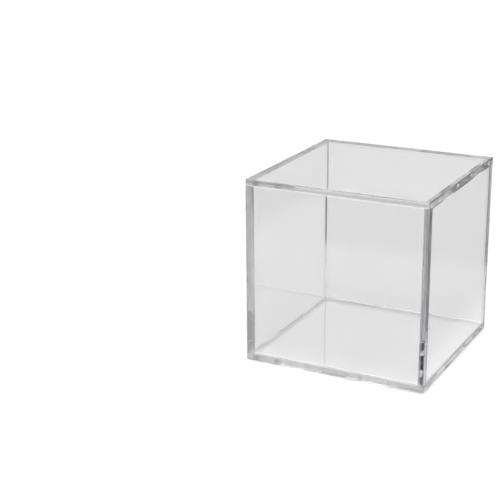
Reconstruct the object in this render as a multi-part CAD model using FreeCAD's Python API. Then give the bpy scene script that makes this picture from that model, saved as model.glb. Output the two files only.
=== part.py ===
"""Clear cubic display case for one ball, made of four push-fit pieces.

Row frame: +Z up, front at -Y, origin at the bottom centre. Lengths are in millimetres.

The cover is one moulding: the top plate with the front and back walls. It lifts off the base, which is the
base plate with the left and right walls standing on it. Every joint is the same tab and notch: a wall ends
in half-thickness tabs, flush with the outside, that drop into notches in the edge of a plate.
"""

import FreeCAD
import Part

import os

# Driving dimensions of the closed case.
SIDE = 108.0            # outside length of every edge of the cube
WALL = 4.0              # thickness of every plate and wall

# Tabs and notches, two to each mating edge.
TAB_WIDTH = 16.0
TAB_PITCH = 50.0        # between the centres of the two tabs on one edge
TAB_DEPTH = 2.0         # thickness of a tab, half the wall
TAB_LEAD = 0.4          # leg of the lead-in chamfer round the tip of a tab

# Fit between the pieces.
REST_GAP = 0.05         # between a wall's end and the plate that it meets
SLIDE_GAP = 0.12        # between faces that pass each other as the case opens
TAB_SHORT = 0.15        # a tab's tip stops this far short of the plate's outer face

# Moulded edges.
EDGE_RADIUS = 0.4       # every outside edge of the cube
INSIDE_RADIUS = 0.4     # inside the cover's two long corners
WALL_END_CHAMFER = 0.4  # ends of a side wall's top and bottom, clear of the cover's inside corners

HALF = SIDE / 2
INNER_TOP = SIDE - WALL
NARROW_REACH = HALF - WALL - SLIDE_GAP
TAB_CENTRES = (-TAB_PITCH / 2, TAB_PITCH / 2)
SIDES = (-1, 1)
OVERSHOOT = 1.0         # how far a cutting or joining block runs past a face
TOUCH = 1.0e-4          # tolerance for picking an edge by its place

ORIGIN = FreeCAD.Vector(0, 0, 0)
Z_AXIS = FreeCAD.Vector(0, 0, 1)
QUARTER_TURN = 90


def block(low, high):
    """A box between two opposite corners."""
    size = [top - bottom for bottom, top in zip(low, high)]
    return Part.makeBox(*size, FreeCAD.Vector(*low))


def near(value, target):
    return abs(value - target) < TOUCH


def tab(side, centre, root, tip):
    """A half-thickness tab on the outside of the wall at side * HALF along X, from z = root to z = tip.

    The three inner edges of its tip are chamfered, to lead it into its notch.
    """
    outer = side * HALF
    x_low, x_high = sorted((outer, side * (HALF - TAB_DEPTH)))
    z_low, z_high = sorted((root, tip))
    low = (x_low, centre - TAB_WIDTH / 2, z_low)
    high = (x_high, centre + TAB_WIDTH / 2, z_high)
    solid = block(low, high)
    lead_in = [edge for edge in solid.Edges
               if near(edge.BoundBox.ZMin, tip) and near(edge.BoundBox.ZMax, tip)
               and not near(edge.CenterOfMass.x, outer)]
    return solid.makeChamfer(TAB_LEAD, lead_in)


def side_wall(side):
    """A wall between the two plates, with tabs up and down; side is -1 for left and +1 for right."""
    z_low = WALL + REST_GAP
    z_high = INNER_TOP - REST_GAP
    x_low, x_high = sorted((side * HALF, side * (HALF - WALL)))
    solid = block((x_low, -NARROW_REACH, z_low), (x_high, NARROW_REACH, z_high))
    corners = [edge for edge in solid.Edges
               if near(abs(edge.CenterOfMass.y), NARROW_REACH) and near(edge.CenterOfMass.z, z_high)]
    solid = solid.makeChamfer(WALL_END_CHAMFER, corners)
    for centre in TAB_CENTRES:
        solid = solid.fuse(tab(side, centre, z_high - OVERSHOOT, SIDE - TAB_SHORT))
        solid = solid.fuse(tab(side, centre, z_low + OVERSHOOT, TAB_SHORT))
    return solid.removeSplitter()


def end_wall(side):
    """A full-width wall at side * HALF along X, hanging from z = SIDE, with tabs at its lower end."""
    z_low = WALL + REST_GAP
    x_low, x_high = sorted((side * HALF, side * (HALF - WALL)))
    solid = block((x_low, -HALF, z_low), (x_high, HALF, SIDE))
    for centre in TAB_CENTRES:
        solid = solid.fuse(tab(side, centre, z_low + OVERSHOOT, TAB_SHORT))
    return solid


def notched_edge_cuts(z_low):
    """Blocks that cut the two notches in a plate's front edge and the two in its back edge."""
    half_width = TAB_WIDTH / 2 + SLIDE_GAP
    cuts = []
    for side in SIDES:
        y_low, y_high = sorted((side * (HALF - TAB_DEPTH - SLIDE_GAP), side * (HALF + OVERSHOOT)))
        for centre in TAB_CENTRES:
            low = (centre - half_width, y_low, z_low - OVERSHOOT)
            high = (centre + half_width, y_high, z_low + WALL + OVERSHOOT)
            cuts.append(block(low, high))
    return cuts


def outside_edges(shape):
    """Edges that lie on two outside faces of the cube at once."""
    found = []
    for edge in shape.Edges:
        middle = edge.CenterOfMass
        on_x = near(abs(middle.x), HALF)
        on_y = near(abs(middle.y), HALF)
        on_z = near(middle.z, 0.0) or near(middle.z, SIDE)
        if on_x + on_y + on_z > 1:
            found.append(edge)
    return found


def base_plate():
    """The bottom plate, with two notches in each of its four edges."""
    shape = block((-HALF, -HALF, 0.0), (HALF, HALF, WALL))
    for cut in notched_edge_cuts(0.0):
        shape = shape.cut(cut)
        cut.rotate(ORIGIN, Z_AXIS, QUARTER_TURN)
        shape = shape.cut(cut)
    return shape.makeFillet(EDGE_RADIUS, outside_edges(shape))


def cover():
    """The top plate with the front and back walls, modelled with its walls on X and turned a quarter round."""
    shape = block((-HALF, -HALF, INNER_TOP), (HALF, HALF, SIDE))
    for side in SIDES:
        shape = shape.fuse(end_wall(side))
    for cut in notched_edge_cuts(INNER_TOP):
        shape = shape.cut(cut)
    shape = shape.removeSplitter()
    inside = [edge for edge in shape.Edges
              if near(abs(edge.CenterOfMass.x), HALF - WALL) and near(edge.CenterOfMass.z, INNER_TOP)
              and edge.Length > WALL]
    shape = shape.makeFillet(INSIDE_RADIUS, inside)
    shape = shape.makeFillet(EDGE_RADIUS, outside_edges(shape))
    shape.rotate(ORIGIN, Z_AXIS, QUARTER_TURN)
    return shape


def main():
    pieces = {
        "base_plate": base_plate(),
        "left_wall": side_wall(-1),
        "right_wall": side_wall(1),
        "cover": cover(),
    }
    os.makedirs("parts", exist_ok=True)
    for name, shape in pieces.items():
        print(name, "solids", len(shape.Solids), "valid", shape.isValid(), "volume", round(shape.Volume, 1))
        shape.Solids[0].exportStep(f"parts/{name}.step")


main()
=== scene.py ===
"""Clear moulded display cube: cover, base plate and two side walls, on a pale studio floor.

Everything is in metres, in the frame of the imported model: +Z up, the front wall at -Y.
"""

import itertools
import math

import bmesh
import bpy
from mathutils import Matrix, Vector, noise


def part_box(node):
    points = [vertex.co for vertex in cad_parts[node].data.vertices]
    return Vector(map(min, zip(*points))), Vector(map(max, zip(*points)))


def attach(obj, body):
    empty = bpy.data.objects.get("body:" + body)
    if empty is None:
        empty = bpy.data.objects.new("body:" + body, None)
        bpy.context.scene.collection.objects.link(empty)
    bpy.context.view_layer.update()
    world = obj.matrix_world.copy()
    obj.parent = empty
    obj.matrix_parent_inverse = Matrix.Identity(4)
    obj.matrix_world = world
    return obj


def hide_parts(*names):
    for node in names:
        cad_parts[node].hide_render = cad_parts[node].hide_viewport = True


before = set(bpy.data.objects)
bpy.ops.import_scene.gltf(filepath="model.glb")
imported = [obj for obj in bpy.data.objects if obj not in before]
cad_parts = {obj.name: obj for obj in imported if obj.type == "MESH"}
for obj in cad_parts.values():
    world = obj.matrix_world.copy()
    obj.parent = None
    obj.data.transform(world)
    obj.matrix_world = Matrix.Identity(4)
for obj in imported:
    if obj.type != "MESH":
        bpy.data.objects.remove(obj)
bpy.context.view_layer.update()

MM = 0.001

# The closed cube and its walls, read from the frame.
COVER_LOW, COVER_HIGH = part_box("cover")
SIDE = COVER_HIGH.z
HALF = COVER_HIGH.x
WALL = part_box("base_plate")[1].z
TAB_TIP = COVER_LOW.z               # height of a lower tab's tip
NARROW_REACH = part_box("right_wall")[1].y    # a side wall ends here, short of the cover's walls

# Tabs and notches, as moulded.
TAB_HALF_WIDTH = 8 * MM
TAB_CENTRES = (-25 * MM, 25 * MM)
TAB_DEPTH = 2 * MM
REST_GAP = 0.05 * MM
SLIDE_GAP = 0.12 * MM

# Finish of the mouldings.
OUTSIDE_RADIUS = 0.42 * MM
SEAM_RADIUS = 0.22 * MM
BEVEL_STEPS = 3
SHARP_TURN = math.radians(57)       # an edge that turns less is part of a flat
GRID_SPACING = 3 * MM
SINK_DEPTH = 0.006 * MM             # how far the moulded faces wander from flat, always inwards
SINK_LENGTH = 17 * MM
CLOSE = 0.01 * MM
POLYSTYRENE_IOR = 1.59

SIDES = (-1, 1)


# Meshes -------------------------------------------------------------------------------------------


def span(a, b):
    return (min(a, b), max(a, b))


def grid_planes(places):
    """The grid planes along one axis: every face of the piece, with even steps between."""
    ends = sorted(set(round(place, 7) for place in places))
    planes = [ends[0]]
    for low, high in zip(ends, ends[1:]):
        steps = max(1, round((high - low) / GRID_SPACING))
        planes += [low + (high - low) * step / steps for step in range(1, steps + 1)]
    return planes


def inside(point, blocks):
    return any(all(low < at < high for at, (low, high) in zip(point, block))
               for block in blocks)


def sink(point):
    """How far a moulded face lies below its true plane at this point: a slow, shallow wander."""
    return SINK_DEPTH * (0.5 + 0.5 * noise.noise(point / SINK_LENGTH))


def moulding(name, blocks, cuts=()):
    """One closed mesh from blocks, less cuts. A block is its (low, high) span on X, Y and Z."""
    planes = [grid_planes([place for block in blocks for place in block[axis]]
                          + [place for cut in cuts for place in cut[axis]
                             if inside_span(place, blocks, axis)])
              for axis in range(3)]
    cells = [[(low + high) / 2 for low, high in zip(along, along[1:])] for along in planes]
    filled = {index for index in itertools.product(*(range(len(along)) for along in cells))
              if inside([along[i] for along, i in zip(cells, index)], blocks)
              and not inside([along[i] for along, i in zip(cells, index)], cuts)}

    mesh = bmesh.new()
    corners = {}

    def corner(index):
        if index not in corners:
            corners[index] = mesh.verts.new([along[i] for along, i in zip(planes, index)])
        return corners[index]

    for index in sorted(filled):
        for axis, step in itertools.product(range(3), SIDES):
            beside = list(index)
            beside[axis] += step
            if tuple(beside) in filled:
                continue
            across, up = (axis + 1) % 3, (axis + 2) % 3
            ring = []
            for a, b in ((0, 0), (1, 0), (1, 1), (0, 1)):
                at = list(index)
                at[axis] += step > 0
                at[across] += a
                at[up] += b
                ring.append(corner(tuple(at)))
            mesh.faces.new(ring if step > 0 else ring[::-1])
    mesh.normal_update()
    weigh_edges(mesh)
    wander(mesh)
    return placed(name, mesh)


def placed(name, mesh):
    """An object of this name in the scene, made from the mesh."""
    data = bpy.data.meshes.new(name)
    mesh.to_mesh(data)
    mesh.free()
    made = bpy.data.objects.new(name, data)
    bpy.context.scene.collection.objects.link(made)
    return made


def inside_span(place, blocks, axis):
    return any(block[axis][0] < place < block[axis][1] for block in blocks)


def on_outside(point):
    """How many of the closed cube's outside faces the point lies on."""
    return sum((abs(abs(point.x) - HALF) < CLOSE,
                abs(abs(point.y) - HALF) < CLOSE,
                abs(point.z) < CLOSE or abs(point.z - SIDE) < CLOSE))


def weigh_edges(mesh):
    """Every sharp edge gets its share of the largest radius: all of it on the cube's own edges and
    in corners, and less along the seams.
    """
    weight = mesh.edges.layers.float.new("bevel_weight_edge")
    for edge in mesh.edges:
        if edge.calc_face_angle(0) < SHARP_TURN:
            continue
        middle = (edge.verts[0].co + edge.verts[1].co) / 2
        on_cube = on_outside(middle) > 1
        concave = not edge.is_convex
        edge[weight] = 1.0 if on_cube or concave else SEAM_RADIUS / OUTSIDE_RADIUS


def wander(mesh):
    """Sinks each face a little below its true plane, by an amount that drifts over the face."""
    moves = {}
    for corner in mesh.verts:
        normals = {tuple(round(value) for value in face.normal) for face in corner.link_faces}
        total = Vector((0, 0, 0))
        for normal in normals:
            direction = Vector(normal)
            total -= direction * sink(corner.co + direction * SIDE)
        moves[corner] = total
    for corner, move in moves.items():
        corner.co += move


def finish_edges(piece):
    """Rounds the edges and shades the whole smooth, with the flats kept flat up to their edges."""
    bevel = piece.modifiers.new("rounded edges", "BEVEL")
    bevel.width = OUTSIDE_RADIUS
    bevel.segments = BEVEL_STEPS
    bevel.limit_method = "WEIGHT"
    bevel.harden_normals = True
    bevel.miter_outer = "MITER_SHARP"
    piece.data.shade_smooth()


# Node building ------------------------------------------------------------------------------------


class Signal:
    """A value on its way through a node tree. Arithmetic on it adds Math nodes."""

    def __init__(self, tree, socket):
        self.tree = tree
        self.socket = socket

    def math(self, operation, *values):
        return self.tree.add("ShaderNodeMath", {"operation": operation}, dict(enumerate(values)))

    def __add__(self, other):
        return self.math("ADD", self, other)

    def __radd__(self, other):
        return self.math("ADD", other, self)

    def __sub__(self, other):
        return self.math("SUBTRACT", self, other)

    def __rsub__(self, other):
        return self.math("SUBTRACT", other, self)

    def __mul__(self, other):
        return self.math("MULTIPLY", self, other)

    def __rmul__(self, other):
        return self.math("MULTIPLY", other, self)

    def __gt__(self, other):
        return self.math("GREATER_THAN", self, other)

    def smooth_step(self, low, high):
        """0 below low, 1 above high, and a smooth rise between."""
        return self.tree.add("ShaderNodeMapRange",
                             {"interpolation_type": "SMOOTHSTEP", "clamp": True},
                             {"Value": self, "From Min": low, "From Max": high})

    def other(self, output):
        """Another output of the same node."""
        return Signal(self.tree, self.socket.node.outputs[output])


class Tree:
    """The node tree of a material or of the world."""

    def __init__(self, owner):
        owner.use_nodes = True
        self.nodes = owner.node_tree.nodes
        self.links = owner.node_tree.links
        self.nodes.clear()

    def add(self, kind, settings=None, sockets=None, output=0):
        """A node of this type: its settings first, then the value or link of each socket."""
        node = self.nodes.new(kind)
        for name, value in (settings or {}).items():
            setattr(node, name, value)
        for name, value in (sockets or {}).items():
            if isinstance(value, Signal):
                self.links.new(value.socket, node.inputs[name])
            else:
                node.inputs[name].default_value = value
        return Signal(self, node.outputs[output]) if node.outputs else None

    def mix(self, factor, low, high):
        """From the colour low to the colour high as the factor goes from 0 to 1."""
        return self.add("ShaderNodeMix", {"data_type": "RGBA"},
                        {"Factor": factor, "A": low, "B": high}, output="Result")

    def path(self, count):
        return self.add("ShaderNodeLightPath", output=count)

    def turned(self):
        """In the world: 1 for light reflected on its way, 0 for light that came straight."""
        return (self.path("Ray Depth") - self.path("Transmission Depth")) > 1.5

    def piped(self):
        """1 for light that was turned several times inside an edge before it came out."""
        return self.path("Glossy Depth") > 2.5


def grey(value):
    return (value, value, value, 1.0)


# The clear plastic --------------------------------------------------------------------------------


def clear_plastic():
    """Clear polished polystyrene: faint flow ripple, a few hairline scratches, specks of dust."""
    material = bpy.data.materials.new("clear_plastic")
    tree = Tree(material)
    place = tree.add("ShaderNodeTexCoord", output="Object")

    flow = tree.add("ShaderNodeTexNoise", {"noise_dimensions": "3D"},
                    {"Vector": place, "Scale": 70.0, "Detail": 2.0, "Roughness": 0.4,
                     "Distortion": 0.6})
    flow_surface = tree.add("ShaderNodeBump", None,
                            {"Strength": 0.05, "Distance": 0.0001, "Height": flow})

    wear = tree.add("ShaderNodeTexNoise", {"noise_dimensions": "3D"},
                    {"Vector": place, "Scale": 22.0, "Detail": 5.0, "Roughness": 0.62})
    drawn_out = tree.add("ShaderNodeMapping", None,
                         {"Vector": place, "Rotation": (0.5, 0.35, 0.6),
                          "Scale": (40.0, 3500.0, 40.0)})
    scratch = tree.add("ShaderNodeTexNoise", {"noise_dimensions": "3D"},
                       {"Vector": drawn_out, "Scale": 1.0, "Detail": 1.0}).smooth_step(0.76, 0.8)
    gloss = 0.002 + wear.smooth_step(0.5, 0.85) * 0.012 + scratch * 0.12
    tint_drift = tree.mix(wear, (0.950, 0.951, 0.953, 1.0), (0.941, 0.940, 0.938, 1.0))

    from_speck = tree.add("ShaderNodeTexVoronoi", {"feature": "F1"},
                          {"Vector": place, "Scale": 260.0}, output="Distance")
    dust = (1 - from_speck.smooth_step(0.035, 0.06)) * (from_speck.other("Color") > 0.62)

    plastic = tree.add("ShaderNodeBsdfPrincipled", None, {
        "Base Color": tint_drift,
        "Roughness": gloss,
        "IOR": POLYSTYRENE_IOR,
        "Transmission Weight": 1.0,
        "Normal": flow_surface,
    })
    lint = tree.add("ShaderNodeBsdfPrincipled", None,
                    {"Base Color": (0.62, 0.62, 0.61, 1.0), "Roughness": 0.9,
                     "Specular IOR Level": 0.2})
    surface = tree.add("ShaderNodeMixShader", None, {"Fac": dust * 0.35, 1: plastic, 2: lint})
    depth_tint = tree.add("ShaderNodeVolumeAbsorption", None,
                          {"Color": (0.70, 0.71, 0.74, 1.0), "Density": 5.0})
    tree.add("ShaderNodeOutputMaterial", None, {"Surface": surface, "Volume": depth_tint})
    return material


# The pieces ---------------------------------------------------------------------------------------


def tab_span(centre):
    return (centre - TAB_HALF_WIDTH, centre + TAB_HALF_WIDTH)


def notch_span(centre):
    return (centre - TAB_HALF_WIDTH - SLIDE_GAP, centre + TAB_HALF_WIDTH + SLIDE_GAP)


def edge_span(side, depth):
    """From a cube face inwards by depth, on the side -1 or 1."""
    return span(side * HALF, side * (HALF - depth))


def side_wall(name, side):
    """A panel between the plates, with a pair of tabs at its bottom and another at its top."""
    low, high = WALL + REST_GAP, SIDE - WALL - REST_GAP
    panel = (edge_span(side, WALL), (-NARROW_REACH, NARROW_REACH), (low, high))
    tabs = [(edge_span(side, TAB_DEPTH), tab_span(centre), heights)
            for centre in TAB_CENTRES for heights in ((TAB_TIP, low), (high, SIDE - TAB_TIP))]
    return moulding(name, [panel] + tabs)


def base_plate():
    """The bottom plate, with a pair of notches in each of its four edges."""
    plate = ((-HALF, HALF), (-HALF, HALF), (0.0, WALL))
    cuts = []
    for side, centre in itertools.product(SIDES, TAB_CENTRES):
        deep = edge_span(side, TAB_DEPTH + SLIDE_GAP)
        cuts.append((deep, notch_span(centre), (0.0, WALL)))
        cuts.append((notch_span(centre), deep, (0.0, WALL)))
    return moulding("base_plate_clear", [plate], cuts)


def cover():
    """The top plate with the front and back walls, notched at left and right and tabbed below."""
    top = ((-HALF, HALF), (-HALF, HALF), (SIDE - WALL, SIDE))
    walls = [((-HALF, HALF), edge_span(side, WALL), (WALL + REST_GAP, SIDE - WALL))
             for side in SIDES]
    tabs = [(tab_span(centre), edge_span(side, TAB_DEPTH), (TAB_TIP, WALL + REST_GAP))
            for side in SIDES for centre in TAB_CENTRES]
    cuts = [(edge_span(side, TAB_DEPTH + SLIDE_GAP), notch_span(centre), (SIDE - WALL, SIDE))
            for side in SIDES for centre in TAB_CENTRES]
    return moulding("cover_clear", [top] + walls + tabs, cuts)


def build_case():
    plastic = clear_plastic()
    pieces = {
        "base_plate": (base_plate(), "base"),
        "left_wall": (side_wall("left_wall_clear", -1), "base"),
        "right_wall": (side_wall("right_wall_clear", 1), "base"),
        "cover": (cover(), "cover"),
    }
    for node, (piece, body) in pieces.items():
        piece.data.materials.append(plastic)
        finish_edges(piece)
        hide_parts(node)
        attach(piece, body)


# The studio ---------------------------------------------------------------------------------------

FLOOR_DROP = 0.2 * MM               # the floor lies this far under the case, with air between
FLOOR_REACH = 6.0

# A dark card off to the left, where the front wall's clear end looks up at it: a painted dark
# reflection, seen only by light turned inside the edges, and by neither the camera, diffuse light
# nor shadows.
DARK_CARD_X = -143 * MM
DARK_CARD_Y = (75 * MM, 155 * MM)
DARK_CARD_Z = (58 * MM, 130 * MM)

# Brightness of the studio's parts, with the lit floor at about 1.
OVERHEAD_LIGHT = 3.65
CARD_LIGHT = 0.74                   # the pale cards round the case
GAP_LIGHT = 0.3                     # a dimmer gap between two of them
STUDIO_DARK = 0.012
PALE_SURROUND = 1.0
BLUE_DARK = (0.35, 0.35, 1.0, 1.0)  # the tone of the darkest parts

# Where those parts begin and end: elevations in degrees, and the gap's spread on X as a sine.
OVERHEAD_FROM = (53, 60)
CARDS_UP_TO = (27, 30)
GAP_UP_TO = (21, 22.3)
GAP_RIGHT_END = (20.5, 23)
GAP_LEFT_END = (-0.05, 0.1)
FRONT_TO_BACK = (-0.1, 0.1)

# The share of the paper's white that shows where the floor is painted dark: painted dark
# reflections of the floor in front and at the right, a painted shadow inside the edges for the
# strip at the left wall, and painted shade on the floor seen through the clear walls all round.
FRONT_FLOOR_SHARE = 0.12
RIGHT_FLOOR_SHARE = 0.6
LEFT_FLOOR_SHARE = 0.06
LEFT_FLOOR_END = (14 * MM, 18.2 * MM)
OPEN_FLOOR_SHARE = 0.88


def floor_paper():
    """White paper, slightly uneven, with light and shade painted into it: painted light under the
    case, painted dark reflections in front and at the right, a painted shadow on the strip at the
    left wall seen inside the edges, and painted shade where it is seen through the clear walls.
    """
    material = bpy.data.materials.new("floor_paper")
    tree = Tree(material)
    place = tree.add("ShaderNodeTexCoord", output="Object")
    mottle = tree.add("ShaderNodeTexNoise", None, {"Vector": place, "Scale": 9.0, "Detail": 3.0})
    across = tree.add("ShaderNodeSeparateXYZ", None, {"Vector": place}, output="X")
    depth = across.other("Y")

    # Places on the floor for painted light and shade: in front, at the right, the strip at the left
    # wall, and under the case.
    in_front = 1 - depth.smooth_step(-1.5 * HALF, -HALF)
    at_right = across.smooth_step(HALF, 1.5 * HALF)
    at_left = ((1 - across.smooth_step(-1.02 * HALF, -HALF))
               * (1 - depth.smooth_step(*LEFT_FLOOR_END)))
    under_case = ((1 - across.math("ABSOLUTE", across).smooth_step(0.9 * HALF, 1.1 * HALF))
                  * (1 - depth.math("ABSOLUTE", depth).smooth_step(0.9 * HALF, 1.1 * HALF)))

    mirrored = tree.path("Glossy Depth") > 0.5
    through = tree.path("Transmission Depth") > 0.5
    # Painted darkness: reflections of the floor go dark in front and at the right, the left strip
    # gets a painted shadow seen inside the edges, and the floor seen through the walls outside the
    # case gets painted shade.
    kept = ((1 - in_front * (1 - FRONT_FLOOR_SHARE))
            * (1 - at_right * (1 - RIGHT_FLOOR_SHARE))
            * (1 - tree.piped() * at_left * (1 - LEFT_FLOOR_SHARE)))
    painted_dark_share = 1 - ((1 - mirrored * (1 - kept))
                  * (1 - through * (1 - under_case) * (1 - OPEN_FLOOR_SHARE)))
    # Painted light: the paper under the case is lighter (0.95 against 0.84), a pool of light
    # painted where the case shades it; the mottle is the paper's own unevenness.
    white = tree.mix(under_case * 0.9 + mottle * 0.1, grey(0.84), grey(0.95))
    paper = tree.add("ShaderNodeBsdfPrincipled", None,
                     {"Base Color": tree.mix(painted_dark_share, white, grey(0.0)), "Roughness": 0.95,
                      "Specular IOR Level": 0.1})
    tree.add("ShaderNodeOutputMaterial", None, {"Surface": paper})
    return material


def build_floor():
    mesh = bmesh.new()
    bmesh.ops.create_grid(mesh, x_segments=8, y_segments=8, size=FLOOR_REACH)
    bmesh.ops.translate(mesh, verts=mesh.verts, vec=(0, 0, -FLOOR_DROP))
    floor = placed("floor", mesh)
    floor.data.materials.append(floor_paper())


def painted_dark_reflection():
    """Black for the edges alone: only light that was turned inside them meets it, so it paints dark
    reflections inside the edges and nowhere else.
    """
    material = bpy.data.materials.new("painted_dark_reflection")
    tree = Tree(material)
    black = tree.add("ShaderNodeBsdfPrincipled", None,
                     {"Base Color": (0.004, 0.004, 0.012, 1.0), "Roughness": 0.9,
                      "Specular IOR Level": 0.0})
    clear = tree.add("ShaderNodeBsdfTransparent")
    surface = tree.add("ShaderNodeMixShader", None, {"Fac": tree.piped(), 1: clear, 2: black})
    tree.add("ShaderNodeOutputMaterial", None, {"Surface": surface})
    return material


def build_dark_card():
    (near, far), (low, high) = DARK_CARD_Y, DARK_CARD_Z
    mesh = bmesh.new()
    mesh.faces.new([mesh.verts.new((DARK_CARD_X, depth, height))
                    for depth, height in ((near, low), (far, low), (far, high), (near, high))])
    card = placed("painted_reflection_card", mesh)
    card.data.materials.append(painted_dark_reflection())
    card.visible_camera = False
    card.visible_diffuse = False
    card.visible_shadow = False


def sines(angles):
    return [math.sin(math.radians(angle)) for angle in angles]


def build_studio_light():
    """A soft light overhead, pale cards round the case, and the dark of the studio between them.

    Seen directly or straight through the clear walls, the surround is pale all round. What is
    reflected in the faces is the studio, and inside the edges its front half is dark.
    """
    world = bpy.data.worlds.new("studio")
    bpy.context.scene.world = world
    tree = Tree(world)
    direction = tree.add("ShaderNodeTexCoord", output="Generated")
    across = tree.add("ShaderNodeSeparateXYZ", None, {"Vector": direction}, output="X")
    depth, height = across.other("Y"), across.other("Z")

    overhead = height.smooth_step(*sines(OVERHEAD_FROM)) * OVERHEAD_LIGHT
    carded = 1 - tree.piped() * (1 - depth.smooth_step(*FRONT_TO_BACK))
    between = (across.smooth_step(*GAP_LEFT_END)
               * (1 - across.smooth_step(*sines(GAP_RIGHT_END))))
    cards = (1 - between) * (1 - height.smooth_step(*sines(CARDS_UP_TO))) * CARD_LIGHT
    gap = between * (1 - height.smooth_step(*sines(GAP_UP_TO))) * GAP_LIGHT
    reflected = overhead + carded * (cards + gap) + STUDIO_DARK
    turned = tree.turned()
    strength = turned * reflected + (1 - turned) * PALE_SURROUND
    light = tree.add("ShaderNodeBackground", None,
                     {"Color": tree.mix(strength * 2.0, BLUE_DARK, grey(1.0)),
                      "Strength": strength})
    tree.add("ShaderNodeOutputWorld", None, {"Surface": light})


# The camera is placed in sides of the cube from its foot, and turned in degrees.
CAMERA_PLACE = (2.4204, -5.9675, 2.6687)
CAMERA_TURNS = ((27.906, "Z"), (71.684, "X"), (-0.52, "Z"))
CAMERA_LENS = 90
LIGHT_BOUNCES = 64


def build_camera():
    """A long lens, a little above the case and to its right, over the front and right walls."""
    camera = bpy.data.cameras.new("camera")
    camera.lens = CAMERA_LENS
    camera.sensor_width = 36
    holder = bpy.data.objects.new("camera", camera)
    bpy.context.scene.collection.objects.link(holder)
    holder.matrix_world = Matrix.Translation(Vector(CAMERA_PLACE) * SIDE)
    for angle, axis in CAMERA_TURNS:
        holder.matrix_world @= Matrix.Rotation(math.radians(angle), 4, axis)
    bpy.context.scene.camera = holder


def set_light_paths():
    """Light passes through many clear walls and turns many times inside their edges."""
    scene = bpy.context.scene
    scene.view_settings.view_transform = "Standard"
    scene.cycles.max_bounces = LIGHT_BOUNCES
    scene.cycles.transmission_bounces = LIGHT_BOUNCES
    scene.cycles.glossy_bounces = LIGHT_BOUNCES
    scene.cycles.blur_glossy = 0.0
    scene.cycles.use_adaptive_sampling = False
    scene.cycles.use_denoising = True


build_case()
build_floor()
build_dark_card()
build_studio_light()
build_camera()
set_light_paths()

bpy.context.view_layer.update()
